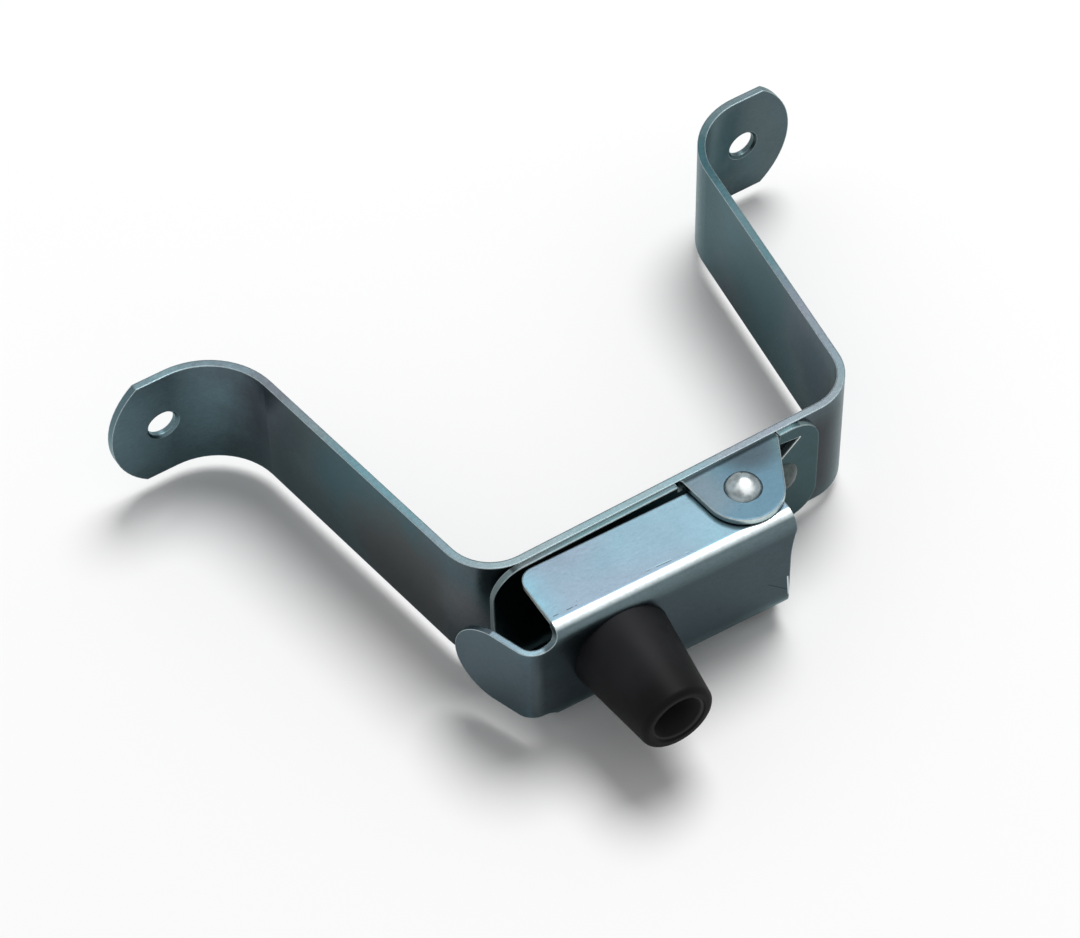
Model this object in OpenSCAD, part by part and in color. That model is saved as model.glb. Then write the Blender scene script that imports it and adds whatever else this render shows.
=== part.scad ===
// Kick-down door holder on a stand-off bracket.
// Frame: X runs along the bracket, Z across its width, the door face is the plane Y = 0
// and the holder stands out from it towards -Y. The origin is midway between the two
// screw holes, on the door face.

/* [Bracket] */
// Width of the bracket strip
strip_width = 25; // [18:0.5:35]
// Thickness of the bracket strip
strip_thickness = 1.5; // [1.2:0.1:2.5]
// Distance from the door face to the outside of the bracket's front
stand_off = 72; // [40:0.5:95]
// Length of the front between the sharp corners of its outside
front_length = 80.6; // [76:0.2:96]
// How far each leg leans outwards on its way to the door
leg_flare = 9.7; // [2:0.1:14]
// Outside radius of the two front bends
front_bend_radius = 10.2; // [6:0.1:12]
// Outside radius of the two bends at the feet
foot_bend_radius = 15; // [8:0.1:17]
// Length of the whole bracket
overall_length = 148.4; // [142:0.2:160]
// Length of the rounded stretch at the end of each foot
foot_rounding = 6.1; // [4:0.1:8]
// Distance between the two screw holes
screw_hole_spacing = 127.4; // [124:0.2:130]
// Diameter of a screw hole
screw_hole_diameter = 5.6; // [4.5:0.1:6.5]
// Depth of the chamfer round a screw hole
screw_hole_chamfer = 0.5; // [0.2:0.05:0.8]

/* [Base plate] */
// Thickness of the base plate
plate_thickness = 1.2; // [1:0.1:2]
// Length of the base plate
plate_length = 68.6; // [66:0.2:70]
// Shift of the plate's middle along the bracket
plate_shift = -3.9; // [-4.4:0.1:-3]
// Radius of the plate's corners
plate_corner_radius = 6; // [2:0.1:8]
// Distance of each plate rivet from the middle of the bracket
plate_rivet_offset = 22.6; // [22.2:0.1:24]
// Inside radius of the bend between plate and ear
ear_bend_radius = 0.6; // [0.4:0.1:0.9]
// Left end of the ears where they leave the plate
ear_left = 0.9; // [-2:0.1:1.4]
// Right end of the ears where they leave the plate
ear_right = 20.8; // [17:0.1:21.4]
// Radius of the rounded front of an ear, about the pivot
ear_radius = 7.4; // [6:0.1:8]
// Width of the relief notch at each end of an ear's bend
relief_width = 0.8; // [0.4:0.1:1.2]
// Depth of the relief notch below the start of the bend
relief_depth = 0.6; // [0.2:0.1:1]
// Reach of the pointed openings along the plate
opening_tip_x = 26.1; // [24.5:0.1:26.4]
// Height of the openings' tips above the middle line
opening_tip_z = 9.2; // [8.8:0.1:9.6]
// Left side of the pointed openings
opening_left_x = 17.4; // [16.5:0.1:18.5]
// Height of the openings' lower end above the middle line
opening_foot_z = 2.8; // [2:0.1:3.4]
// Slope of the openings' upper side
opening_upper_slope = 10; // [4:0.5:10.5]
// Slope of the openings' lower side
opening_lower_slope = 43; // [40:0.5:46]

/* [Pivot] */
// Position of the pivot along the bracket
pivot_x = 9; // [8:0.1:10]
// Distance of the pivot in front of the base plate
pivot_height = 6.9; // [6.6:0.1:8]
// Diameter of the pivot rivet
pivot_diameter = 4; // [3:0.1:5]
// Clearance between the rivet and the lever's hole, on the diameter
pivot_clearance = 0.1; // [0.04:0.02:0.18]
// Diameter of the pivot rivet's heads
pivot_head_diameter = 6.9; // [6:0.1:8]
// Height of the pivot rivet's heads
pivot_head_height = 2.3; // [1:0.1:2.8]

/* [Lever] */
// Thickness of the lever's sheet
lever_thickness = 1.2; // [1:0.1:1.5]
// Clearance between a lever flange and the ear beside it
lever_side_gap = 0.3; // [0.2:0.05:0.6]
// Distance from the pivot to the outside of the web
web_reach = 9.7; // [9:0.1:10.5]
// Radius of the flanges about the pivot, and their depth behind it
nose_radius = 5.1; // [4.4:0.1:5.6]
// Outside radius of the two long bends
lever_bend_radius = 3; // [2.2:0.1:3.2]
// Length of the flanges from the pivot to their far end
flange_length = 43.1; // [38:0.1:46]
// Radius of the flanges' rear corners at their far end
flange_corner_radius = 3; // [1:0.1:4]
// Height of the foot tongue
tongue_width = 17.8; // [14:0.1:17.8]
// Outside radius of the tongue's bend
tongue_bend_radius = 4; // [3:0.1:6]
// Angle the tongue is bent through
tongue_angle = 69; // [45:1:80]
// Length of the tongue past its bend
tongue_length = 13.8; // [11:0.1:15]
// Radius of the tongue's round end
tongue_end_radius = 9; // [9:0.1:12]
// Set-back of the web's end from the flanges' ends
web_set_back = 1; // [0.4:0.1:1.4]
// Lean of the closed lever towards the plate
closed_lean = 1.8; // [0.5:0.1:2]

/* [Rubber foot] */
// Distance of the rubber foot from the pivot
foot_distance = 30.8; // [26:0.1:32]
// Height of the foot's axis above the middle of the web
foot_rise = 0.5; // [-1.5:0.1:1.5]
// Diameter of the rubber foot at the lever
foot_base_diameter = 18.8; // [16:0.1:19]
// Diameter of the rubber foot at its tip
foot_tip_diameter = 14; // [13.4:0.1:16]
// Length of the rubber foot
foot_length = 18.7; // [14:0.1:24]
// Radius of the rounded tip edge
foot_tip_radius = 1.2; // [0.5:0.1:1.6]
// Diameter of the recess in the tip
recess_diameter = 9.4; // [9.2:0.1:10]
// Chamfer round the recess
recess_chamfer = 0.6; // [0.2:0.1:1]
// Thickness of rubber left under the recess
recess_floor = 7.2; // [5:0.1:7.4]
// Diameter of the foot rivet
foot_rivet_diameter = 4; // [3:0.1:4.6]
// Diameter of the foot rivet's heads
foot_rivet_head_diameter = 7; // [6:0.1:7.4]
// Height of the foot rivet's head in the recess
foot_rivet_head_height = 1.8; // [1:0.1:2.4]
// Diameter of the foot washer
washer_diameter = 8.8; // [8:0.1:9]
// Thickness of the foot washer
washer_thickness = 0.8; // [0.5:0.1:1.2]

/* [Plate rivets] */
// Diameter of a plate rivet
plate_rivet_diameter = 4; // [3:0.1:4.6]
// Diameter of a plate rivet's front head
plate_rivet_head_diameter = 7; // [6:0.1:7.2]
// Height of a plate rivet's front head
plate_rivet_head_height = 1.7; // [1:0.1:2.2]
// Diameter of the closing heads behind the sheet
closing_head_diameter = 6.4; // [5.5:0.1:7]
// Height of the closing heads
closing_head_height = 1.4; // [0.8:0.1:2]

/* [Hidden] */
$fn = 96;
// Overlap of shapes that are joined
eps = 0.01;
// Overlength of shapes that cut through
over = 1;
// Lap of the strip's front and feet over the bends beside them
lap = 0.0005;
// Depth to which a flat's faces cut into those of the bend beside it
bite = 0.002;

half_width = strip_width / 2;
half_front = front_length / 2;
half_length = overall_length / 2;
foot_corner_x = half_front + leg_flare;
leg_angle = atan(leg_flare / (stand_off - strip_thickness));
front_centre_x = half_front - front_bend_radius * (1 - sin(leg_angle)) / cos(leg_angle);
front_centre_y = -stand_off + front_bend_radius;
foot_inner_radius = foot_bend_radius - strip_thickness;
foot_centre_x = foot_corner_x + foot_inner_radius * (1 - sin(leg_angle)) / cos(leg_angle);
foot_centre_y = -foot_bend_radius;
leg_length = (foot_centre_y - front_centre_y + sin(leg_angle) * (foot_inner_radius
             + front_bend_radius)) / cos(leg_angle);

plate_back = -stand_off;
plate_face = -stand_off - plate_thickness;
ear_inner = half_width;
ear_outer = half_width + plate_thickness;
ear_bend_outer = ear_bend_radius + plate_thickness;
ear_bend_z = ear_inner - ear_bend_radius;
ear_root_y = plate_face - ear_bend_radius;
pivot_y = plate_face - pivot_height;

lever_half = ear_inner - lever_side_gap;
tongue_half = tongue_width / 2;
tongue_fillet = lever_half - tongue_half;
tongue_start = -flange_length - tongue_fillet;
web_back_y = -web_reach + lever_thickness;
web_flare_start = 1;
web_flare_rise = 8;
web_flare_radius = (pow(web_flare_rise, 2) + pow(web_set_back, 2)) / (2 * web_set_back);

foot_taper = atan((foot_base_diameter - foot_tip_diameter) / 2 / foot_length);
foot_tip_x = foot_base_diameter / 2
             - ((foot_length - foot_tip_radius) * sin(foot_taper) + foot_tip_radius)
             / cos(foot_taper);
washer_top = recess_floor + washer_thickness;

// Part of a ring between two angles less than a half turn apart.
module ring_sector(outer, inner, from, to) {
    reach = 2 * outer;
    middle = (from + to) / 2;
    intersection() {
        difference() {
            circle(r = outer);
            circle(r = inner);
        }
        polygon([[0, 0],
                 [reach * cos(from), reach * sin(from)],
                 [reach * cos(middle), reach * sin(middle)],
                 [reach * cos(to), reach * sin(to)]]);
    }
}

// Domed rivet head on the plane z = 0, rising towards +Z.
module dome(diameter, height) {
    radius = (diameter * diameter / 4 + height * height) / (2 * height);
    rotate_extrude()
        intersection() {
            translate([0, height - radius])
                circle(r = radius);
            square([diameter, height]);
        }
}

// Angle past the tangent at which a bend ends, and length past it at which the flat beside
// it ends: there each lies inside the other. The radius is that of the sheet's middle.
function bite_angle(radius) = acos(1 - bite / radius);
function bite_lap(radius) = radius * sin(bite_angle(radius));

// Right-hand half of the strip seen along its width. Each stretch is drawn from the centre
// of the bend before it. The leg leans a hair more than the tangent to its two bends, so
// that its faces cross theirs.
module half_outline() {
    front_inner_radius = front_bend_radius - strip_thickness;
    front_middle = front_bend_radius - strip_thickness / 2;
    foot_middle = foot_bend_radius - strip_thickness / 2;
    foot_run = half_length + over - foot_centre_x;
    leg_start = -bite_lap(front_middle);
    leg_end = leg_length + bite_lap(foot_middle);
    translate([-lap, -stand_off])
        square([front_centre_x + 2 * lap, strip_thickness]);
    translate([front_centre_x, front_centre_y]) {
        ring_sector(front_bend_radius, front_inner_radius,
                    -90, bite_angle(front_middle) - leg_angle);
        rotate(-leg_angle) {
            translate([front_inner_radius, 0])
                polygon([[-bite, leg_start],
                         [strip_thickness - bite, leg_start],
                         [strip_thickness + bite, leg_end],
                         [bite, leg_end]]);
            translate([front_bend_radius + foot_inner_radius, leg_length])
                rotate(leg_angle) {
                    ring_sector(foot_bend_radius, foot_inner_radius,
                                90, 180 + bite_angle(foot_middle) - leg_angle);
                    translate([-lap, foot_inner_radius])
                        square([foot_run, strip_thickness]);
                }
        }
    }
}

module bracket_outline() {
    half_outline();
    mirror([1, 0])
        half_outline();
}

// Outline that trims the strip's ends round, seen from the front.
module strip_front_outline() {
    end_radius = (pow(half_width, 2) + pow(foot_rounding, 2)) / (2 * foot_rounding);
    end_x = half_length - end_radius;
    square([2 * end_x, strip_width + 2 * over], center = true);
    for (side = [-1, 1])
        translate([side * end_x, 0])
            circle(r = end_radius);
}

module stand_off_bracket() {
    color([0.62, 0.66, 0.68])
    difference() {
        intersection() {
            linear_extrude(height = strip_width, center = true)
                bracket_outline();
            rotate([90, 0, 0])
                translate([0, 0, -over])
                    linear_extrude(height = stand_off + 2 * over)
                        strip_front_outline();
        }
        for (side = [-1, 1])
            translate([side * screw_hole_spacing / 2, 0, 0])
                rotate([90, 0, 0]) {
                    translate([0, 0, -over])
                        cylinder(d = screw_hole_diameter, h = strip_thickness + 2 * over);
                    translate([0, 0, strip_thickness - screw_hole_chamfer])
                        cylinder(d1 = screw_hole_diameter,
                                 d2 = screw_hole_diameter + 4 * screw_hole_chamfer,
                                 h = 2 * screw_hole_chamfer);
                }
        for (side = [-1, 1])
            translate([side * plate_rivet_offset, -stand_off + strip_thickness + over, 0])
                rotate([90, 0, 0])
                    cylinder(d = plate_rivet_diameter, h = strip_thickness + 2 * over);
    }
}

// Pointed opening beside the right-hand rivet, above the middle line.
module opening_outline() {
    run = opening_tip_x - opening_left_x;
    intersection() {
        polygon([[opening_tip_x, opening_tip_z],
                 [opening_left_x, opening_tip_z + run * tan(opening_upper_slope)],
                 [opening_left_x, opening_tip_z - run * tan(opening_lower_slope)]]);
        translate([opening_left_x, opening_foot_z])
            square([run, opening_tip_z]);
    }
}

// Base plate seen from the front, without its ears.
module plate_outline() {
    straight = plate_length - 2 * plate_corner_radius;
    upright = strip_width - 2 * plate_corner_radius;
    ear_span = ear_right - ear_left;
    difference() {
        translate([plate_shift, 0])
            union() {
                square([plate_length, upright], center = true);
                square([straight, strip_width], center = true);
                for (sx = [-1, 1], sz = [-1, 1])
                    translate([sx * straight / 2, sz * upright / 2])
                        circle(r = plate_corner_radius);
            }
        for (side = [0, 1])
            mirror([0, side]) {
                translate([ear_left - relief_width, ear_bend_z])
                    square([ear_span + 2 * relief_width, strip_width]);
                translate([ear_left - relief_width, ear_bend_z - relief_depth])
                    square([relief_width, strip_width]);
                translate([ear_right, ear_bend_z - relief_depth])
                    square([relief_width, strip_width]);
                opening_outline();
            }
        for (side = [-1, 1])
            translate([side * plate_rivet_offset, 0])
                circle(d = plate_rivet_diameter);
    }
}

// One ear seen along the pivot, from its bend to its rounded front.
module ear_outline() {
    left_gap = pivot_x - ear_left;
    right_gap = ear_right - pivot_x;
    rise = ear_root_y - pivot_y;
    left_turn = atan2(left_gap, rise) + acos(ear_radius / norm([left_gap, rise]));
    right_turn = atan2(right_gap, rise) + acos(ear_radius / norm([right_gap, rise]));
    difference() {
        union() {
            translate([pivot_x, pivot_y])
                circle(r = ear_radius);
            polygon([[ear_left, ear_root_y],
                     [pivot_x - ear_radius * sin(left_turn),
                      pivot_y + ear_radius * cos(left_turn)],
                     [pivot_x, pivot_y],
                     [pivot_x + ear_radius * sin(right_turn),
                      pivot_y + ear_radius * cos(right_turn)],
                     [ear_right, ear_root_y]]);
        }
        translate([ear_left - over, ear_root_y])
            square([ear_right - ear_left + 2 * over, 2 * ear_radius]);
        translate([pivot_x, pivot_y])
            circle(d = pivot_diameter);
    }
}

module base_plate() {
    color([0.66, 0.70, 0.72]) {
        translate([0, plate_back, 0])
            rotate([90, 0, 0])
                linear_extrude(height = plate_thickness)
                    plate_outline();
        for (side = [0, 1])
            mirror([0, 0, side]) {
                translate([ear_left, ear_root_y, ear_bend_z])
                    rotate([90, 0, 90])
                        linear_extrude(height = ear_right - ear_left)
                            ring_sector(ear_bend_outer, ear_bend_radius, 0, 90);
                translate([0, 0, ear_inner])
                    linear_extrude(height = plate_thickness)
                        ear_outline();
            }
    }
}

// Rivet through plate and bracket: low head in front, closing head behind.
module plate_rivet(x) {
    grip = plate_thickness + strip_thickness;
    color([0.70, 0.68, 0.65])
    translate([x, plate_face, 0])
        rotate([90, 0, 0]) {
            dome(plate_rivet_head_diameter, plate_rivet_head_height);
            translate([0, 0, -grip])
                cylinder(d = plate_rivet_diameter, h = grip);
            translate([0, 0, -grip])
                mirror([0, 0, 1])
                    dome(closing_head_diameter, closing_head_height);
        }
}

module plate_rivet_left() {
    plate_rivet(-plate_rivet_offset);
}

module plate_rivet_right() {
    plate_rivet(plate_rivet_offset);
}

module pivot_rivet() {
    color([0.72, 0.70, 0.66])
    translate([pivot_x, pivot_y, 0]) {
        cylinder(d = pivot_diameter, h = 2 * ear_outer, center = true);
        for (side = [0, 1])
            mirror([0, 0, side])
                translate([0, 0, ear_outer])
                    dome(pivot_head_diameter, pivot_head_height);
    }
}

// Places a shape drawn about the pivot where the closed lever has it.
module at_lever() {
    translate([pivot_x, pivot_y, 0])
        rotate([0, 0, -closed_lean])
            children();
}

// Cross-section of the channel: Y to the right, Z upwards.
module channel_section() {
    core = lever_half - lever_bend_radius;
    front = -web_reach + lever_bend_radius;
    inner_radius = lever_bend_radius - lever_thickness;
    inner_half = lever_half - lever_thickness;
    difference() {
        union() {
            translate([front, -lever_half])
                square([nose_radius - front, 2 * lever_half]);
            translate([-web_reach, -core])
                square([lever_bend_radius + eps, 2 * core]);
            for (side = [-1, 1])
                translate([front, side * core])
                    circle(r = lever_bend_radius);
        }
        translate([front, -inner_half])
            square([nose_radius - front + over, 2 * inner_half]);
        translate([web_back_y, -core])
            square([lever_bend_radius, 2 * core]);
        for (side = [-1, 1])
            translate([front, side * core])
                circle(r = inner_radius);
    }
}

// Lever seen along the pivot: flange with its rounded corners.
module flange_outline() {
    corner = flange_corner_radius;
    front = -web_reach - over;
    depth = nose_radius - front;
    circle(r = nose_radius);
    translate([0, front])
        square([nose_radius, -front]);
    translate([-flange_length + corner, front])
        square([flange_length - corner, depth]);
    translate([-flange_length, front])
        square([corner + eps, depth - corner]);
    translate([-flange_length + corner, nose_radius - corner])
        circle(r = corner);
    translate([tongue_start, front])
        square([tongue_fillet + eps, lever_bend_radius + over]);
}

// Lever seen from the front, narrowing through two fillets to the tongue.
module lever_front_outline() {
    difference() {
        translate([tongue_start, -lever_half - over])
            square([nose_radius - tongue_start + over, 2 * (lever_half + over)]);
        for (side = [-1, 1])
            translate([tongue_start, side * lever_half])
                circle(r = tongue_fillet);
        for (side = [0, 1])
            mirror([0, side])
                translate([tongue_start - over, lever_half])
                    square([tongue_fillet + over, 2 * over]);
    }
}

// Sheet cut away at the web's end, leaving its upper corner proud.
module web_end_cut() {
    edge = nose_radius - web_set_back;
    translate([edge + web_flare_radius, web_flare_start])
        circle(r = web_flare_radius);
    translate([edge, -lever_half - over])
        square([web_flare_radius, lever_half + over + web_flare_start]);
}

module channel() {
    difference() {
        intersection() {
            translate([tongue_start, 0, 0])
                rotate([90, 0, 90])
                    linear_extrude(height = nose_radius - tongue_start)
                        channel_section();
            linear_extrude(height = 2 * (lever_half + over), center = true)
                flange_outline();
            rotate([90, 0, 0])
                linear_extrude(height = 4 * web_reach, center = true)
                    lever_front_outline();
        }
        translate([0, -web_reach + lever_bend_radius, 0])
            rotate([90, 0, 0])
                linear_extrude(height = lever_bend_radius + over)
                    web_end_cut();
    }
}

// Outline that trims the tongue's end round, seen square to it; its bend starts at X = 0.
module tongue_trim() {
    centre = tongue_end_radius - tongue_length;
    translate([centre, 0])
        circle(r = tongue_end_radius);
    translate([centre, -tongue_width])
        square([tongue_bend_radius + over - centre, 2 * tongue_width]);
}

// Foot tongue: bent back from the web, with a round end.
module tongue() {
    inner_radius = tongue_bend_radius - lever_thickness;
    middle_radius = tongue_bend_radius - lever_thickness / 2;
    start = bite_lap(middle_radius);
    translate([tongue_start, -web_reach + tongue_bend_radius, 0])
        intersection() {
            linear_extrude(height = tongue_width, center = true) {
                ring_sector(tongue_bend_radius, inner_radius,
                            270 - tongue_angle - bite_angle(middle_radius), 270);
                rotate(-tongue_angle)
                    polygon([[start, bite - tongue_bend_radius],
                             [start, bite - inner_radius],
                             [-tongue_length - over, -bite - inner_radius],
                             [-tongue_length - over, -bite - tongue_bend_radius]]);
            }
            rotate([90, 0, -tongue_angle])
                linear_extrude(height = tongue_bend_radius + over)
                    tongue_trim();
        }
}

module lever() {
    color([0.62, 0.67, 0.70])
    at_lever()
        difference() {
            union() {
                channel();
                tongue();
            }
            cylinder(d = pivot_diameter + pivot_clearance, h = 2 * (lever_half + over),
                     center = true);
            translate([-foot_distance, 0, foot_rise])
                rotate([90, 0, 0])
                    cylinder(d = foot_rivet_diameter, h = web_reach + over);
        }
}

// Places a shape drawn along +Z on the web's face, pointing away from the lever.
module at_foot() {
    at_lever()
        translate([-foot_distance, -web_reach, foot_rise])
            rotate([90, 0, 0])
                children();
}

module rubber_foot() {
    tip_y = foot_length - foot_tip_radius;
    color([0.10, 0.10, 0.10])
    at_foot()
        difference() {
            rotate_extrude() {
                polygon([[0, 0],
                         [foot_base_diameter / 2, 0],
                         [foot_tip_x + foot_tip_radius * cos(foot_taper),
                          tip_y + foot_tip_radius * sin(foot_taper)],
                         [foot_tip_x, foot_length],
                         [0, foot_length]]);
                translate([foot_tip_x, tip_y])
                    circle(r = foot_tip_radius);
            }
            translate([0, 0, recess_floor])
                cylinder(d = recess_diameter, h = foot_length);
            translate([0, 0, foot_length - recess_chamfer])
                cylinder(d1 = recess_diameter, d2 = recess_diameter + 4 * recess_chamfer,
                         h = 2 * recess_chamfer);
            translate([0, 0, -over])
                cylinder(d = foot_rivet_diameter, h = foot_length);
        }
}

module foot_washer() {
    color([0.68, 0.70, 0.72])
    at_foot()
        translate([0, 0, recess_floor])
            difference() {
                cylinder(d = washer_diameter, h = washer_thickness);
                translate([0, 0, -over])
                    cylinder(d = foot_rivet_diameter, h = washer_thickness + 2 * over);
            }
}

module foot_rivet() {
    color([0.70, 0.68, 0.65])
    at_foot() {
        translate([0, 0, washer_top])
            dome(foot_rivet_head_diameter, foot_rivet_head_height);
        translate([0, 0, -lever_thickness])
            cylinder(d = foot_rivet_diameter, h = washer_top + lever_thickness);
        translate([0, 0, -lever_thickness])
            mirror([0, 0, 1])
                dome(closing_head_diameter, closing_head_height);
    }
}

stand_off_bracket();
base_plate();
plate_rivet_left();
plate_rivet_right();
pivot_rivet();
lever();
rubber_foot();
foot_washer();
foot_rivet();
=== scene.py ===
import math

import bmesh
import bpy
from mathutils import Matrix, Vector


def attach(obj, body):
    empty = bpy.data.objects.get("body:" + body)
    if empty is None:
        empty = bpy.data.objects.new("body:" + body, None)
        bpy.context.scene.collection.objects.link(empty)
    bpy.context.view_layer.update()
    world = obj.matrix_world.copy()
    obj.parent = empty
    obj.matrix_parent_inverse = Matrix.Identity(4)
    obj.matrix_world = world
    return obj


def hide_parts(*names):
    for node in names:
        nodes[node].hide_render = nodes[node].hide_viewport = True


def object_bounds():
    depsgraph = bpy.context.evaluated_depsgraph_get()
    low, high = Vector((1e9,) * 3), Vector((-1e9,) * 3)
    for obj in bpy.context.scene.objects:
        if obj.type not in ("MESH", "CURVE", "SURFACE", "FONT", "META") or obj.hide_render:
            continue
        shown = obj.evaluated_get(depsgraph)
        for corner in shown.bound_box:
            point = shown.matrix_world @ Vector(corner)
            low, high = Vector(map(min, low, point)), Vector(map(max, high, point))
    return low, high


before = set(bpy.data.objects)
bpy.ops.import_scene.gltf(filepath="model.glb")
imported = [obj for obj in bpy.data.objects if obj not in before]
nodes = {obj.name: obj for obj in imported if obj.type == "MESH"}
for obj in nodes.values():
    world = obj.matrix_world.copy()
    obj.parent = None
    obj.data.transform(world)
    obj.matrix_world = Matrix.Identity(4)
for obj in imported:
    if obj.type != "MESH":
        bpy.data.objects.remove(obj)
cad_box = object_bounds()

MM = 0.001

# Camera, solved from the photograph: where it looks, from where, and its lens
TARGET = Vector((37.35, 31.89, -113.6)) * MM
AZIMUTH = math.radians(-31.98)
ELEVATION = math.radians(50.47)
ROLL = math.radians(-1.05)
DISTANCE = 866.73 * MM
SENSOR = 36.0
LENS = 133.92
NEAR_CLIP = 0.01
FAR_CLIP = 20

# Studio: pale floor, even fill, and a round soft box high behind the right of the object
FLOOR_SIZE = 12.0
FLOOR_COLOUR = (0.95, 0.95, 0.95, 1)
FLOOR_ROUGHNESS = 0.9
WHITE = (1.0, 1.0, 1.0, 1)
FILL_STRENGTH = 0.38
KEY_RADIANCE = 9.5
KEY_RADIUS_ANGLE = math.radians(16.2)
KEY_DISTANCE = 3.0
KEY_DIRECTION = Vector((0.337, 0.24, 0.91))

# Closed lever: its pivot in millimetres, and its lean about the pivot
PIVOT = Vector((9.0, -80.1, 0.0))
LEAN = math.radians(-1.8)

# Lever's sheet: outer faces of web and flange from the pivot, long bends' radius, thickness
WEB_OUT = -9.7 * MM
FLANGE_UP = 12.2 * MM
LONG_BEND = 3.0 * MM
SHEET = 1.2 * MM

# A pair named STEP holds the values at which a soft change starts and ends.
# On the lever, in from the web's face, in radii of the long bend
WEB_STEP = (0.3, 0.05)
BEND_STEP = (0.97, 0.8)
FLANGE_STEP = (1.0, 1.1)
# On the lever, down from the flange's face, in radii of the long bend
# Painted highlight fading from the long bend into the web
SHOULDER_HIGHLIGHT_STEP = (1.5, 0.3)
# Painted highlight: a near-white band along the top of the long bend
BEND_HIGHLIGHT_STEP = (0.28, 0.07)
# On the lever, down from the flange's face, in thicknesses of the sheet
FLANGE_SIDE_STEP = (1.15, 1.0)

# On the base plate, in the object's frame: where the ears start, the sides of the opening
# (past the front face, and short of the long edges), and the end whose edges are neither rubbed
# nor given a painted highlight
EAR_STEP = (-75.2 * MM, -76.0 * MM)
OPENING_STEP = (-73.6 * MM, -73.3 * MM)
LONG_EDGE_STEP = (12.3 * MM, 12.1 * MM)
PLAIN_EDGE_STEP = (26 * MM, 30 * MM)

# How squarely a surface may face along an axis and still be a sheared side
SIDE_STEP = (0.7, 0.4)
OPENING_SIDE_STEP = (0.5, 0.2)

# Metallic value of the dull sides of the opening
OPENING_SIDE_METALLIC = 0.15

# Box round the base plate's opening below the middle line, which the photograph doesn't show
LOWER_OPENING_LOW = Vector((17.3, -73.4, -10.8)) * MM
LOWER_OPENING_HIGH = Vector((26.2, -71.9, -2.7)) * MM

# How far the normal of a wall of that opening may tilt along Y
WALL_TILT = 0.1

# Places on the closed lever, as lever_point takes them, and the radii of the patches there
# Painted light on the web beside the tongue, where it reflects the dark foot
BY_TONGUE_LIGHT = (-52, -9.7, -4)
BY_TONGUE_LIGHT_RADII = (4 * MM, 12 * MM)
# Painted sheen on the foot's upper flank
FOOT_SHEEN = (-33, -14, 8.5)
FOOT_SHEEN_RADII = (4 * MM, 15 * MM)
FOOT_AXIS = (-30.8, -25, 0.5)

# Radius of the foot's recess, and of that where its painted light starts and is fully there, as
# shares
FOOT_RECESS = 4.7 * MM
RECESS_LIGHT_STEP = (1.08, 1.03)

# How squarely the rubber has to face along Y to take the painted shade of its tip
TIP_SHADE_STEP = (0.80, 0.95)

# Place of the painted highlight on the pivot rivet's crown, and its radii
CROWN = Vector((8.5, -81.3, 15.3)) * MM
CROWN_RADII = (0.5 * MM, 1.9 * MM)

# Sizes of the surfaces' features, as features per metre
SPECKLE_SCALE = 2600
GRAIN_SCALE = 1500
SCRATCH_SCALE = 620
BLOTCH_SCALE = 420
DUST_SCALE = 120
CLOUD_SCALE = 95
FILM_SCALE = 26

# Rolling draws the zinc's grain out along X, and a seed of 1 moves its noise by this much
ROLLING = (0.5, 1.0, 1.0)
SEED_SHIFT = (1.0, 0.7, 0.4)

# How far apart along X the films' noise is taken, and how far off along Y and Z
FILM_APART = 0.31
FILM_OFFSET = (0.17, 0.05)

# How far noise swings the shade of zinc, of its rubbed edges with their painted highlight, and of
# rubber
GRAIN_SWING = 0.40
SPECKLE_SWING = 0.28
CLOUD_SWING = 0.34
RUBBED_AND_HIGHLIGHT_SWING = 0.9
DUST_SWING = 0.5

# Values of the noise at which a film, a broken scratch and a rivet's light metal come in
FILM_STEP = (0.47, 0.66)
SCRATCH_STEP = (0.42, 0.56)
LIGHT_STEP = (0.4, 0.65)

# Likeness of the rounded and the true normal at which an edge starts and is fully there
RIM_STEP = (0.99, 0.86)
RIM_SAMPLES = 8

# Width over which edges are rounded, rubbed and given a painted highlight, and how much of them is
# rubbed bright metal with painted highlight
EDGE_WIDTH = 0.35 * MM
PLATE_EDGE_WIDTH = 0.55 * MM
RUBBER_EDGE_WIDTH = 0.3 * MM
RUBBED_AND_HIGHLIGHT_SHARE = 0.8
PLAIN_EDGE_SHARE = 0.1

# Cut sides of the bracket's strip: half its width, the blend into them, and their brightness
HALF_STRIP = 12.5 * MM
CUT_BLEND = 0.06 * MM
CUT_SHARE = 0.04

# Waviness of a patch's rim, as a share of its soft border, and a mark's solid core
PATCH_WAVE = 1.2
MARK_CORE = 0.3

# Lowest and highest roughness, and the rubber's weak gloss
ZINC_ROUGHNESS = (0.22, 0.40)
RIVET_ROUGHNESS = (0.16, 0.36)
RUBBER_ROUGHNESS = (0.44, 0.60)
RUBBER_GLOSS = 0.08

# Strength and depth of the relief, and how much fine grain a rivet's dents carry
ZINC_RELIEF = (0.16, 0.05 * MM)
RIVET_RELIEF = (0.35, 0.08 * MM)
RUBBER_RELIEF = (0.2, 0.06 * MM)
GRAIN_IN_DENTS = 0.3

# Zinc of the bracket
BRACKET = (0.076, 0.104, 0.112, 1)
TEAL = (0.046, 0.098, 0.115, 1)
VIOLET = (0.072, 0.078, 0.096, 1)
BROWN = (0.072, 0.064, 0.064, 1)
WARM_GREY = (0.098, 0.100, 0.104, 1)
LEFT_FOOT = (0.094, 0.150, 0.170, 1)
RIGHT_LEG_TOP = (0.008, 0.036, 0.044, 1)
RIGHT_LEG = (0.024, 0.062, 0.073, 1)
RIGHT_LEG_LOW = (0.026, 0.038, 0.058, 1)
STRIP_END = (0.036, 0.031, 0.034, 1)

# Zinc of the base plate
PLATE = (0.042, 0.072, 0.078, 1)
PLATE_DULL = (0.036, 0.046, 0.050, 1)
EAR_LIGHT = (0.056, 0.078, 0.092, 1)
EAR_BLUE = (0.040, 0.072, 0.094, 1)
EAR_DARK = (0.026, 0.038, 0.046, 1)

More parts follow.
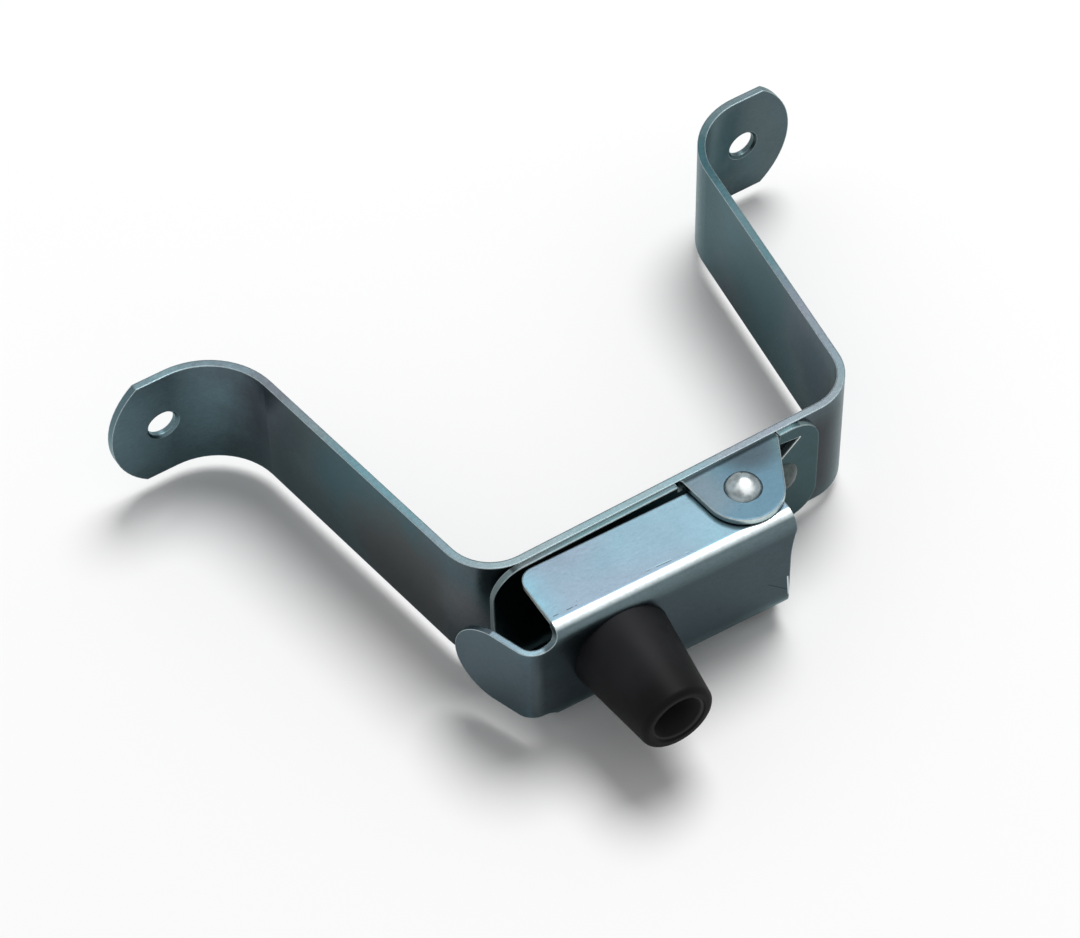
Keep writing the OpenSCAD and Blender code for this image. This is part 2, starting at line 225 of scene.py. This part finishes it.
# Zinc of the lever
LEVER = (0.076, 0.127, 0.152, 1)
LEVER_VIOLET = (0.084, 0.112, 0.138, 1)
LEVER_BRIGHT = (0.080, 0.150, 0.186, 1)
# Painted shade: the lever's web, which faces the front, darker than its flange
LEVER_WEB_SHADE = (0.047, 0.063, 0.073, 1)
# Painted light: a lighter web beside the tongue, against the foot's dark reflection in it
WEB_PAINTED_LIGHT = (0.074, 0.094, 0.104, 1)
TONGUE = (0.070, 0.094, 0.110, 1)
# Painted highlight: the lighter band where the long bend's highlight fades into the web
SHOULDER_HIGHLIGHT = (0.118, 0.164, 0.176, 1)
# Painted highlight along the top of the lever's long bend
BEND_HIGHLIGHT = (0.66, 0.74, 0.76, 1)

# Zinc's sheared sides, rubbed edges with painted highlight, marks, painted highlights and grazing
# tint
CUT_BRIGHT = (0.66, 0.74, 0.72, 1)
CUT_DULL = (0.12, 0.17, 0.18, 1)
# Rubbed bright metal along the edges, with painted highlight on them
RUBBED_EDGE_AND_HIGHLIGHT = (0.42, 0.50, 0.52)
# Painted highlight along the lower edge of the base plate's pointed opening
OPENING_EDGE_HIGHLIGHT = (0.76, 0.81, 0.81, 1)
MARK_DARK = (0.018, 0.026, 0.032, 1)
# Painted highlight on the cut edge at the web's end
WEB_END_HIGHLIGHT = (0.62, 0.68, 0.70, 1)
MARK_PALE = (0.12, 0.18, 0.20, 1)
GRAZING = (0.82, 0.94, 0.96, 1)

# Rivet steel
RIVET_LIGHT = (0.32, 0.38, 0.40, 1)
RIVET_DARK = (0.19, 0.22, 0.23, 1)
# Painted shade: a darker copy of the rivet steel, for the rivets that face the front and those in
# the foot
SHADED_RIVET_LIGHT = (0.080, 0.097, 0.096, 1)
SHADED_RIVET_DARK = (0.052, 0.066, 0.066, 1)
# Painted highlight on the pivot rivet's crown
CROWN_HIGHLIGHT = (0.88, 0.92, 0.92, 1)

# Rubber
RUBBER = (0.0042, 0.0043, 0.0044, 1)
# Painted sheen on the rubber's upper flank
RUBBER_SHEEN = (0.0125, 0.0128, 0.0150, 1)
# Painted shade: the rubber's tip darker than its flanks
RUBBER_TIP_SHADE = (0.0030, 0.0030, 0.0030, 1)
# Painted light: the foot's recess lighter than the rubber, against the shade inside it
RECESS_PAINTED_LIGHT = (0.048, 0.048, 0.049, 1)


def at(x, y, z):
    """Place from millimetres in the object's frame."""
    return Vector((x, y, z)) * MM


def lever_point(along, out, up):
    """Place on the closed lever, from millimetres along it, out from the pivot and up."""
    turned = Matrix.Rotation(LEAN, 3, "Z") @ Vector((along, out, up))
    return (PIVOT + turned) * MM


def camera_axes():
    """Right, up and backward directions of the photograph's camera."""
    back = Vector((math.sin(AZIMUTH) * math.cos(ELEVATION),
                   -math.cos(AZIMUTH) * math.cos(ELEVATION),
                   math.sin(ELEVATION)))
    right = Vector((math.cos(AZIMUTH), math.sin(AZIMUTH), 0))
    up = back.cross(right)
    rolled_right = math.cos(ROLL) * right + math.sin(ROLL) * up
    rolled_up = math.cos(ROLL) * up - math.sin(ROLL) * right
    return rolled_right, rolled_up, back


def make_camera():
    """Camera at the photograph's viewing angle."""
    right, up, back = camera_axes()
    data = bpy.data.cameras.new("camera")
    data.sensor_width = SENSOR
    data.lens = LENS
    data.clip_start = NEAR_CLIP
    data.clip_end = FAR_CLIP
    camera = bpy.data.objects.new("camera", data)
    bpy.context.scene.collection.objects.link(camera)
    turn = Matrix((right, up, back)).transposed().to_4x4()
    camera.matrix_world = Matrix.Translation(TARGET + back * DISTANCE) @ turn
    bpy.context.scene.camera = camera


def add(tree, kind, **settings):
    """New shader node; settings with a leading capital letter are input sockets."""
    node = tree.nodes.new(kind)
    for name, value in settings.items():
        if name[0].isupper():
            node.inputs[name.replace("_", " ")].default_value = value
        else:
            setattr(node, name, value)
    return node


def feed(tree, value, socket):
    """Links a socket, or sets a plain value."""
    if isinstance(value, bpy.types.NodeSocket):
        tree.links.new(value, socket)
    else:
        socket.default_value = value


def maths(tree, operation, *values):
    """Math node on sockets or plain numbers; returns its output socket."""
    node = add(tree, "ShaderNodeMath", operation=operation)
    for index, value in enumerate(values):
        feed(tree, value, node.inputs[index])
    return node.outputs[0]


def between(tree, value, low, high):
    """Spreads a value of 0 to 1 over low to high."""
    return maths(tree, "MULTIPLY_ADD", value, high - low, low)


def about_one(tree, value, swing):
    """Factor that a noise value swings evenly about 1."""
    return between(tree, value, 1 - swing / 2, 1 + swing / 2)


def product(tree, *masks):
    """Product of masks."""
    result = masks[0]
    for mask in masks[1:]:
        result = maths(tree, "MULTIPLY", result, mask)
    return result


def vectors(tree, operation, *values, output=0):
    """Vector math node on sockets or plain vectors; returns one output socket."""
    node = add(tree, "ShaderNodeVectorMath", operation=operation)
    for index, value in enumerate(values):
        feed(tree, value, node.inputs[index])
    return node.outputs[output]


def scaled(tree, vector, factor):
    """Vector or colour times a factor."""
    node = add(tree, "ShaderNodeVectorMath", operation="SCALE")
    feed(tree, vector, node.inputs[0])
    feed(tree, factor, node.inputs["Scale"])
    return node.outputs[0]


def separate(tree, vector):
    """X, Y and Z of a vector."""
    parts = add(tree, "ShaderNodeSeparateXYZ")
    tree.links.new(vector, parts.inputs[0])
    return parts.outputs


def step(tree, value, low, high):
    """Smooth step of a socket from 0 at low to 1 at high."""
    node = add(tree, "ShaderNodeMapRange", interpolation_type="SMOOTHSTEP")
    node.inputs["From Min"].default_value = low
    node.inputs["From Max"].default_value = high
    tree.links.new(value, node.inputs["Value"])
    return node.outputs["Result"]


def mix(tree, share, first, second):
    """Colour mix; share, first and second are sockets or plain values."""
    node = add(tree, "ShaderNodeMix", data_type="RGBA")
    for name, value in (("Factor", share), ("A", first), ("B", second)):
        kind = "VALUE" if name == "Factor" else "RGBA"
        socket = next(s for s in node.inputs if s.name == name and s.type == kind)
        feed(tree, value, socket)
    return next(s for s in node.outputs if s.type == "RGBA")


def noise(tree, place, scale, detail=3.0, roughness=0.55):
    """Noise value at a place; scale is features per metre."""
    node = add(tree, "ShaderNodeTexNoise", Scale=scale, Detail=detail, Roughness=roughness)
    tree.links.new(place, node.inputs["Vector"])
    return node.outputs["Fac"]


def spot(tree, place, wobble, centre, inner, outer):
    """Soft-edged patch: 1 within inner of its centre and 0 beyond outer, with a wavy rim."""
    wave = PATCH_WAVE * (outer - inner)
    distance = vectors(tree, "DISTANCE", place, tuple(centre), output="Value")
    nearer = maths(tree, "MULTIPLY_ADD", wobble, -wave, distance)
    return step(tree, maths(tree, "ADD", nearer, wave / 2), outer, inner)


def stroke(tree, place, start, end, width):
    """Thin straight mark from start to end."""
    run = end - start
    from_start = vectors(tree, "SUBTRACT", place, tuple(start))
    per_run = tuple(run / run.length_squared)
    share = vectors(tree, "DOT_PRODUCT", from_start, per_run, output="Value")
    clamped = maths(tree, "MINIMUM", maths(tree, "MAXIMUM", share, 0.0), 1.0)
    off = vectors(tree, "SUBTRACT", from_start, scaled(tree, tuple(run), clamped))
    length = vectors(tree, "LENGTH", off, output="Value")
    return step(tree, length, width, width * MARK_CORE)


def edges(tree, width):
    """Rounded-edge normal, and a mask of 1 along the piece's edges."""
    rounded = add(tree, "ShaderNodeBevel", samples=RIM_SAMPLES, Radius=width).outputs[0]
    true = add(tree, "ShaderNodeNewGeometry").outputs["Normal"]
    likeness = vectors(tree, "DOT_PRODUCT", rounded, true, output="Value")
    return rounded, step(tree, likeness, *RIM_STEP)


def facing(tree, axis):
    """How squarely a surface faces along an axis of its own piece: 1 straight on, 0 edge on."""
    normal = add(tree, "ShaderNodeTexCoord").outputs["Normal"]
    return maths(tree, "ABSOLUTE", separate(tree, normal)[axis])


def relief(tree, shader, height, strength, depth, rounded=None):
    """Fine relief on a shader, over the rounded-edge normal where there is one."""
    bump = add(tree, "ShaderNodeBump", Strength=strength, Distance=depth)
    tree.links.new(height, bump.inputs["Height"])
    if rounded is not None:
        tree.links.new(rounded, bump.inputs["Normal"])
    tree.links.new(bump.outputs[0], shader.inputs["Normal"])


def new_material(name):
    """Material with one Principled shader; returns it, its tree, the shader and the place."""
    material = bpy.data.materials.new(name)
    material.use_nodes = True
    tree = material.node_tree
    tree.nodes.clear()
    output = add(tree, "ShaderNodeOutputMaterial")
    shader = add(tree, "ShaderNodeBsdfPrincipled")
    tree.links.new(shader.outputs[0], output.inputs["Surface"])
    place = add(tree, "ShaderNodeTexCoord").outputs["Object"]
    return material, tree, shader, place


def lever_zones(tree, place):
    """Parts of the lever's sheet that differ, as (mask, colour, metallic): painted shade on the
    web, painted light on the web beside the tongue, painted highlight down the long bend, and the
    flange's bright cut sides.
    """
    local = add(tree, "ShaderNodeMapping", vector_type="TEXTURE", Location=tuple(PIVOT * MM),
                Rotation=(0, 0, LEAN))
    tree.links.new(place, local.inputs["Vector"])
    parts = separate(tree, local.outputs[0])
    depth = parts["Y"]
    height = maths(tree, "ABSOLUTE", parts["Z"])

    def inward(ends):
        return step(tree, depth, *(WEB_OUT + LONG_BEND * end for end in ends))

    def down(ends, unit):
        return step(tree, height, *(FLANGE_UP - unit * end for end in ends))

    # Painted shade: the flat web takes a darker copy of the lever's zinc
    web = inward(WEB_STEP)
    bend = inward(BEND_STEP)
    # Painted highlight fading down the long bend into the web
    shoulder_highlight = product(tree, bend, down(SHOULDER_HIGHLIGHT_STEP, LONG_BEND))
    # Painted highlight along the top of the long bend
    bend_highlight = product(tree, bend, down(BEND_HIGHLIGHT_STEP, LONG_BEND))
    flange_side = product(tree, step(tree, facing(tree, "Z"), *SIDE_STEP),
                          down(FLANGE_SIDE_STEP, SHEET), inward(FLANGE_STEP))
    # Painted light: a lighter patch on the web beside the tongue
    light = spot(tree, place, noise(tree, place, CLOUD_SCALE), lever_point(*BY_TONGUE_LIGHT),
                 *BY_TONGUE_LIGHT_RADII)
    by_tongue_light = product(tree, web, light)
    return ((web, LEVER_WEB_SHADE, 1), (by_tongue_light, WEB_PAINTED_LIGHT, 1), (shoulder_highlight, SHOULDER_HIGHLIGHT, 1),
            (bend_highlight, BEND_HIGHLIGHT, 1), (flange_side, CUT_BRIGHT, 1))


def plate_zones(tree, place):
    """Sheared sides of the base plate: bright round the ears, dull inside its opening."""
    parts = separate(tree, place)
    ear_side = product(tree, step(tree, facing(tree, "Z"), *SIDE_STEP),
                       step(tree, parts["Y"], *EAR_STEP))
    opening_side = product(tree, step(tree, facing(tree, "Y"), *OPENING_SIDE_STEP),
                           step(tree, parts["Y"], *OPENING_STEP),
                           step(tree, maths(tree, "ABSOLUTE", parts["Z"]), *LONG_EDGE_STEP))
    return ((opening_side, CUT_DULL, OPENING_SIDE_METALLIC), (ear_side, CUT_BRIGHT, 1))


def sheet_colour(tree, place, shifted, cloud, body, films, patches):
    """Body colour with films that drift over the whole sheet, and patches over them."""
    colour = body
    for index, film in enumerate(films):
        offset = (FILM_APART * index, *FILM_OFFSET)
        drift = noise(tree, vectors(tree, "ADD", shifted, offset), FILM_SCALE, detail=2.5)
        colour = mix(tree, step(tree, drift, *FILM_STEP), colour, film)
    for centre, inner, outer, patch_colour in patches:
        colour = mix(tree, spot(tree, place, cloud, centre, inner, outer), colour, patch_colour)
    return colour


def rub_and_highlight_edges(tree, place, colour, rim, bright, edge_height, plain_edges):
    """Colour with bright metal on the sheet's cut side, and rubbed bright metal with painted
    highlight along its edges.
    """
    if edge_height is not None:
        side = maths(tree, "ABSOLUTE", separate(tree, place)["Z"])
        cut = step(tree, side, edge_height - CUT_BLEND, edge_height)
        colour = mix(tree, maths(tree, "MULTIPLY", cut, CUT_SHARE), colour, bright)
    share = RUBBED_AND_HIGHLIGHT_SHARE
    if plain_edges is not None:
        along = step(tree, separate(tree, place)["X"], *plain_edges)
        share = between(tree, along, RUBBED_AND_HIGHLIGHT_SHARE, PLAIN_EDGE_SHARE)
    return mix(tree, maths(tree, "MULTIPLY", rim, share), colour, bright)


def mark(tree, place, shifted, colour, marks, scratches):
    """Colour with marks, and with scratches that show only in places."""
    for start, end, width, mark_colour in marks:
        colour = mix(tree, stroke(tree, place, start, end, width), colour, mark_colour)
    shown = step(tree, noise(tree, shifted, SCRATCH_SCALE, detail=2.0), *SCRATCH_STEP)
    for start, end, width, mark_colour in scratches:
        scratch = product(tree, stroke(tree, place, start, end, width), shown)
        colour = mix(tree, scratch, colour, mark_colour)
    return colour


def zinc(name, body, films, patches=(), marks=(), scratches=(), edge_width=EDGE_WIDTH,
         edge_height=None, plain_edges=None, zones=None, seed=0.0):
    """Blue-passivated zinc on rolled sheet.

    films are colours that drift over the whole sheet.
    patches are (centre, inner, outer, colour).
    marks are (start, end, width, colour), and scratches are the same but broken up.
    edge_width is the width over which edges are rounded, rubbed bright and given a painted
    highlight.
    edge_height is the height from the middle beyond which the sheet's cut side lies.
    plain_edges is the two places along X between which the edges' rubbed brightness and painted
    highlight fade out.
    zones is a function that gives the parts of the sheet that differ.
    seed moves the noise, so that no two pieces carry the same pattern."""
    material, tree, shader, place = new_material(name)
    shifted = vectors(tree, "ADD", place, tuple(seed * shift for shift in SEED_SHIFT))
    rolled = vectors(tree, "MULTIPLY", shifted, ROLLING)
    grain = noise(tree, rolled, GRAIN_SCALE, detail=4.0, roughness=0.7)
    speckle = noise(tree, shifted, SPECKLE_SCALE, detail=2.0)
    cloud = noise(tree, shifted, CLOUD_SCALE)
    colour = sheet_colour(tree, place, shifted, cloud, body, films, patches)
    metallic = 1.0
    for mask, zone_colour, zone_metallic in zones(tree, place) if zones else ():
        colour = mix(tree, mask, colour, zone_colour)
        if zone_metallic < 1:
            metallic = between(tree, mask, 1, zone_metallic)
    darkest = 1 - (GRAIN_SWING + SPECKLE_SWING) / 2
    grainy = maths(tree, "MULTIPLY_ADD", grain, GRAIN_SWING, darkest)
    shade = maths(tree, "MULTIPLY_ADD", speckle, SPECKLE_SWING, grainy)
    colour = scaled(tree, colour, product(tree, shade, about_one(tree, cloud, CLOUD_SWING)))
    rounded, rim = edges(tree, edge_width)
    # Rubbed bright metal and painted highlight along the edges
    bright = scaled(tree, RUBBED_EDGE_AND_HIGHLIGHT, about_one(tree, speckle, RUBBED_AND_HIGHLIGHT_SWING))
    colour = rub_and_highlight_edges(tree, place, colour, rim, bright, edge_height, plain_edges)
    colour = mark(tree, place, shifted, colour, marks, scratches)
    tree.links.new(colour, shader.inputs["Base Color"])
    feed(tree, metallic, shader.inputs["Metallic"])
    shader.inputs["Specular Tint"].default_value = GRAZING
    tree.links.new(between(tree, grain, *ZINC_ROUGHNESS), shader.inputs["Roughness"])
    relief(tree, shader, grain, *ZINC_RELIEF, rounded)
    return material


def bracket_zinc():
    """Bluer left foot, browner left leg, darker right leg and strip's end."""
    patches = [
        (at(-63, -2, 0), 8 * MM, 24 * MM, LEFT_FOOT),
        (at(-44, -52, -4), 6 * MM, 20 * MM, BROWN),
        (at(-43, -68, 0), 3 * MM, 9 * MM, WARM_GREY),
        (at(52, -12, 4), 8 * MM, 20 * MM, RIGHT_LEG_TOP),
        (at(48, -34, 2), 8 * MM, 22 * MM, RIGHT_LEG),
        (at(46, -58, 2), 5 * MM, 14 * MM, RIGHT_LEG_LOW),
        (at(38, -72, 0), 7 * MM, 16 * MM, STRIP_END),
    ]
    return zinc("zinc_bracket", BRACKET, (TEAL, VIOLET), patches, edge_height=HALF_STRIP, seed=0.2)


def plate_zinc():
    """Three tints on the upper ear, and a painted highlight along the lower edge of the pointed
    opening.
    """
    patches = [
        (at(9, -82, 13.7), 6 * MM, 13 * MM, EAR_BLUE),
        (at(1, -77, 13.7), 3 * MM, 9 * MM, EAR_LIGHT),
        (at(14, -72.6, 13.2), 3 * MM, 8 * MM, EAR_DARK),
    ]
    # Painted highlight: a white line along the opening's lower edge, where it catches the light
    opening_edge_highlight = (at(26.1, -73.2, 9.2), at(19.3, -73.2, 2.85), 0.3 * MM, OPENING_EDGE_HIGHLIGHT)
    return zinc("zinc_plate", PLATE, (PLATE_DULL,), patches, marks=[opening_edge_highlight],
                edge_width=PLATE_EDGE_WIDTH, plain_edges=PLAIN_EDGE_STEP, zones=plate_zones, seed=0.5)


def lever_zinc():
    """Tints on flange and tongue, a crease mark and a painted highlight at the web's end,
    scratches along the flange.
    """
    patches = [
        (lever_point(-34, 6, 12.2), 3 * MM, 11 * MM, LEVER_VIOLET),
        (lever_point(-48, 0, 12.2), 2 * MM, 11 * MM, LEVER_BRIGHT),
        (lever_point(-53, 0, 0), 8 * MM, 16 * MM, TONGUE),
    ]
    marks = [
        (lever_point(-0.4, -9.7, -3.05), lever_point(3.63, -9.7, -6.91), 0.16 * MM, MARK_DARK),
        # Painted highlight: a white line down the cut edge at the web's end
        (lever_point(3.6, -9.7, -3.3), lever_point(4.0, -9.7, -8.4), 0.22 * MM, WEB_END_HIGHLIGHT),
    ]
    scratches = [
        (lever_point(-42.15, -5.95, 12.2), lever_point(-36.8, -5.97, 12.2), 0.12 * MM, MARK_DARK),
        (lever_point(-24.8, -5.9, 12.2), lever_point(-14.5, -6.3, 12.2), 0.10 * MM, MARK_DARK),
        (lever_point(-24.8, -5.72, 12.2), lever_point(-14.5, -6.12, 12.2), 0.10 * MM, MARK_PALE),
    ]
    return zinc("zinc_lever", LEVER, (LEVER_VIOLET,), patches, marks, scratches,
                zones=lever_zones, seed=0.9)


def rivet_metal(name, light, dark, crown=None):
    """Bare rivet steel with small dents and stains; crown is the place of a painted highlight on
    its top.
    """
    material, tree, shader, place = new_material(name)
    grain = noise(tree, place, GRAIN_SCALE)
    blotch = noise(tree, place, BLOTCH_SCALE, detail=2.0)
    colour = mix(tree, step(tree, blotch, *LIGHT_STEP), dark, light)
    # Painted highlight on the crown
    if crown is not None:
        colour = mix(tree, spot(tree, place, blotch, crown, *CROWN_RADII), colour, CROWN_HIGHLIGHT)
    tree.links.new(colour, shader.inputs["Base Color"])
    shader.inputs["Metallic"].default_value = 1.0
    tree.links.new(between(tree, blotch, *RIVET_ROUGHNESS), shader.inputs["Roughness"])
    dents = maths(tree, "MULTIPLY_ADD", grain, GRAIN_IN_DENTS, blotch)
    relief(tree, shader, dents, *RIVET_RELIEF)
    return material


def rubber():
    """Matt black moulded rubber: painted sheen on its upper flank, painted shade on its tip,
    painted light in its recess, and dust over it all.
    """
    material, tree, shader, place = new_material("rubber")
    grain = noise(tree, place, GRAIN_SCALE)
    dust = noise(tree, place, DUST_SCALE)
    # Painted sheen on the upper flank
    sheen = spot(tree, place, dust, lever_point(*FOOT_SHEEN), *FOOT_SHEEN_RADII)
    colour = mix(tree, sheen, RUBBER, RUBBER_SHEEN)
    # Painted shade on the tip
    colour = mix(tree, step(tree, facing(tree, "Y"), *TIP_SHADE_STEP), colour, RUBBER_TIP_SHADE)
    axis = lever_point(*FOOT_AXIS)
    from_axis = vectors(tree, "DISTANCE", vectors(tree, "MULTIPLY", place, (1, 0, 1)),
                        (axis.x, 0, axis.z), output="Value")
    # Painted light inside the recess
    recess = step(tree, from_axis, *(FOOT_RECESS * end for end in RECESS_LIGHT_STEP))
    colour = mix(tree, recess, colour, RECESS_PAINTED_LIGHT)
    colour = scaled(tree, colour, about_one(tree, dust, DUST_SWING))
    tree.links.new(colour, shader.inputs["Base Color"])
    shader.inputs["Specular IOR Level"].default_value = RUBBER_GLOSS
    tree.links.new(between(tree, dust, *RUBBER_ROUGHNESS), shader.inputs["Roughness"])
    rounded, _ = edges(tree, RUBBER_EDGE_WIDTH)
    relief(tree, shader, grain, *RUBBER_RELIEF, rounded)
    return material


def in_lower_opening(point):
    """Whether a point lies in the box round the lower opening."""
    return all(low <= value <= high
               for low, value, high in zip(LOWER_OPENING_LOW, point, LOWER_OPENING_HIGH))


def plate_with_one_opening():
    """Stands for the base plate, with its sheet closed where only the solid has an opening."""
    form = bmesh.new()
    form.from_mesh(nodes["base_plate"].data)
    walls = [face for face in form.faces
             if abs(face.normal.y) < WALL_TILT
             and all(in_lower_opening(corner.co) for corner in face.verts)]
    bmesh.ops.delete(form, geom=walls, context="FACES")
    rim = [edge for edge in form.edges
           if edge.is_boundary and all(in_lower_opening(end.co) for end in edge.verts)]
    middle = (LOWER_OPENING_LOW.y + LOWER_OPENING_HIGH.y) / 2
    for face in bmesh.ops.holes_fill(form, edges=rim)["faces"]:
        face.normal_update()
        if face.normal.y * (face.calc_center_median().y - middle) < 0:
            face.normal_flip()
    mesh = bpy.data.meshes.new("base_plate_one_opening")
    form.to_mesh(mesh)
    form.free()
    piece = bpy.data.objects.new("base_plate_one_opening", mesh)
    bpy.context.scene.collection.objects.link(piece)
    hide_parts("base_plate")
    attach(piece, "base")
    return piece


def finish_piece(piece, material):
    """Gives a piece its finish."""
    piece.data.materials.clear()
    piece.data.materials.append(material)


def make_floor():
    """Plain pale floor under the object."""
    height = cad_box[0].z
    half = FLOOR_SIZE / 2
    corners = [(-half, -half, height), (half, -half, height),
               (half, half, height), (-half, half, height)]
    mesh = bpy.data.meshes.new("floor")
    mesh.from_pydata(corners, [], [(0, 1, 2, 3)])
    floor = bpy.data.objects.new("floor", mesh)
    bpy.context.scene.collection.objects.link(floor)
    material, _, shader, _ = new_material("floor")
    shader.inputs["Base Color"].default_value = FLOOR_COLOUR
    shader.inputs["Roughness"].default_value = FLOOR_ROUGHNESS
    shader.inputs["Specular IOR Level"].default_value = 0.0
    mesh.materials.append(material)


def make_world():
    """White to the eye and in reflections, a weaker fill on everything else."""
    world = bpy.data.worlds.new("world")
    world.use_nodes = True
    tree = world.node_tree
    background = tree.nodes["Background"]
    background.inputs["Color"].default_value = WHITE
    path = add(tree, "ShaderNodeLightPath")
    seen = maths(tree, "MAXIMUM", path.outputs["Is Camera Ray"], path.outputs["Is Glossy Ray"])
    seen = maths(tree, "MAXIMUM", seen, path.outputs["Is Transmission Ray"])
    tree.links.new(between(tree, seen, FILL_STRENGTH, 1), background.inputs["Strength"])
    bpy.context.scene.world = world


def make_key():
    """Round soft box, with the power that gives its face the named radiance."""
    radius = KEY_DISTANCE * math.tan(KEY_RADIUS_ANGLE)
    data = bpy.data.lights.new("key", "AREA")
    data.shape = "DISK"
    data.size = 2 * radius
    data.energy = KEY_RADIANCE * math.pi * math.pi * radius ** 2
    key = bpy.data.objects.new("key", data)
    bpy.context.scene.collection.objects.link(key)
    away = KEY_DIRECTION.normalized()
    centre = (cad_box[0] + cad_box[1]) / 2
    key.location = centre + away * KEY_DISTANCE
    key.rotation_mode = "QUATERNION"
    key.rotation_quaternion = away.to_track_quat("Z", "Y")


make_camera()
make_world()
make_key()
make_floor()

crown_highlit_rivet = rivet_metal("rivet_metal", RIVET_LIGHT, RIVET_DARK, crown=CROWN)
# Painted shade: the plate's and the foot's rivets take the darker copy of the rivet steel
shaded_rivet = rivet_metal("rivet_shaded", SHADED_RIVET_LIGHT, SHADED_RIVET_DARK)

finish_piece(nodes["stand_off_bracket"], bracket_zinc())
finish_piece(plate_with_one_opening(), plate_zinc())
finish_piece(nodes["lever"], lever_zinc())
finish_piece(nodes["pivot_rivet"], crown_highlit_rivet)
for name in ("plate_rivet_left", "plate_rivet_right", "foot_washer", "foot_rivet"):
    finish_piece(nodes[name], shaded_rivet)
finish_piece(nodes["rubber_foot"], rubber())

bpy.context.scene.view_settings.view_transform = "Standard"
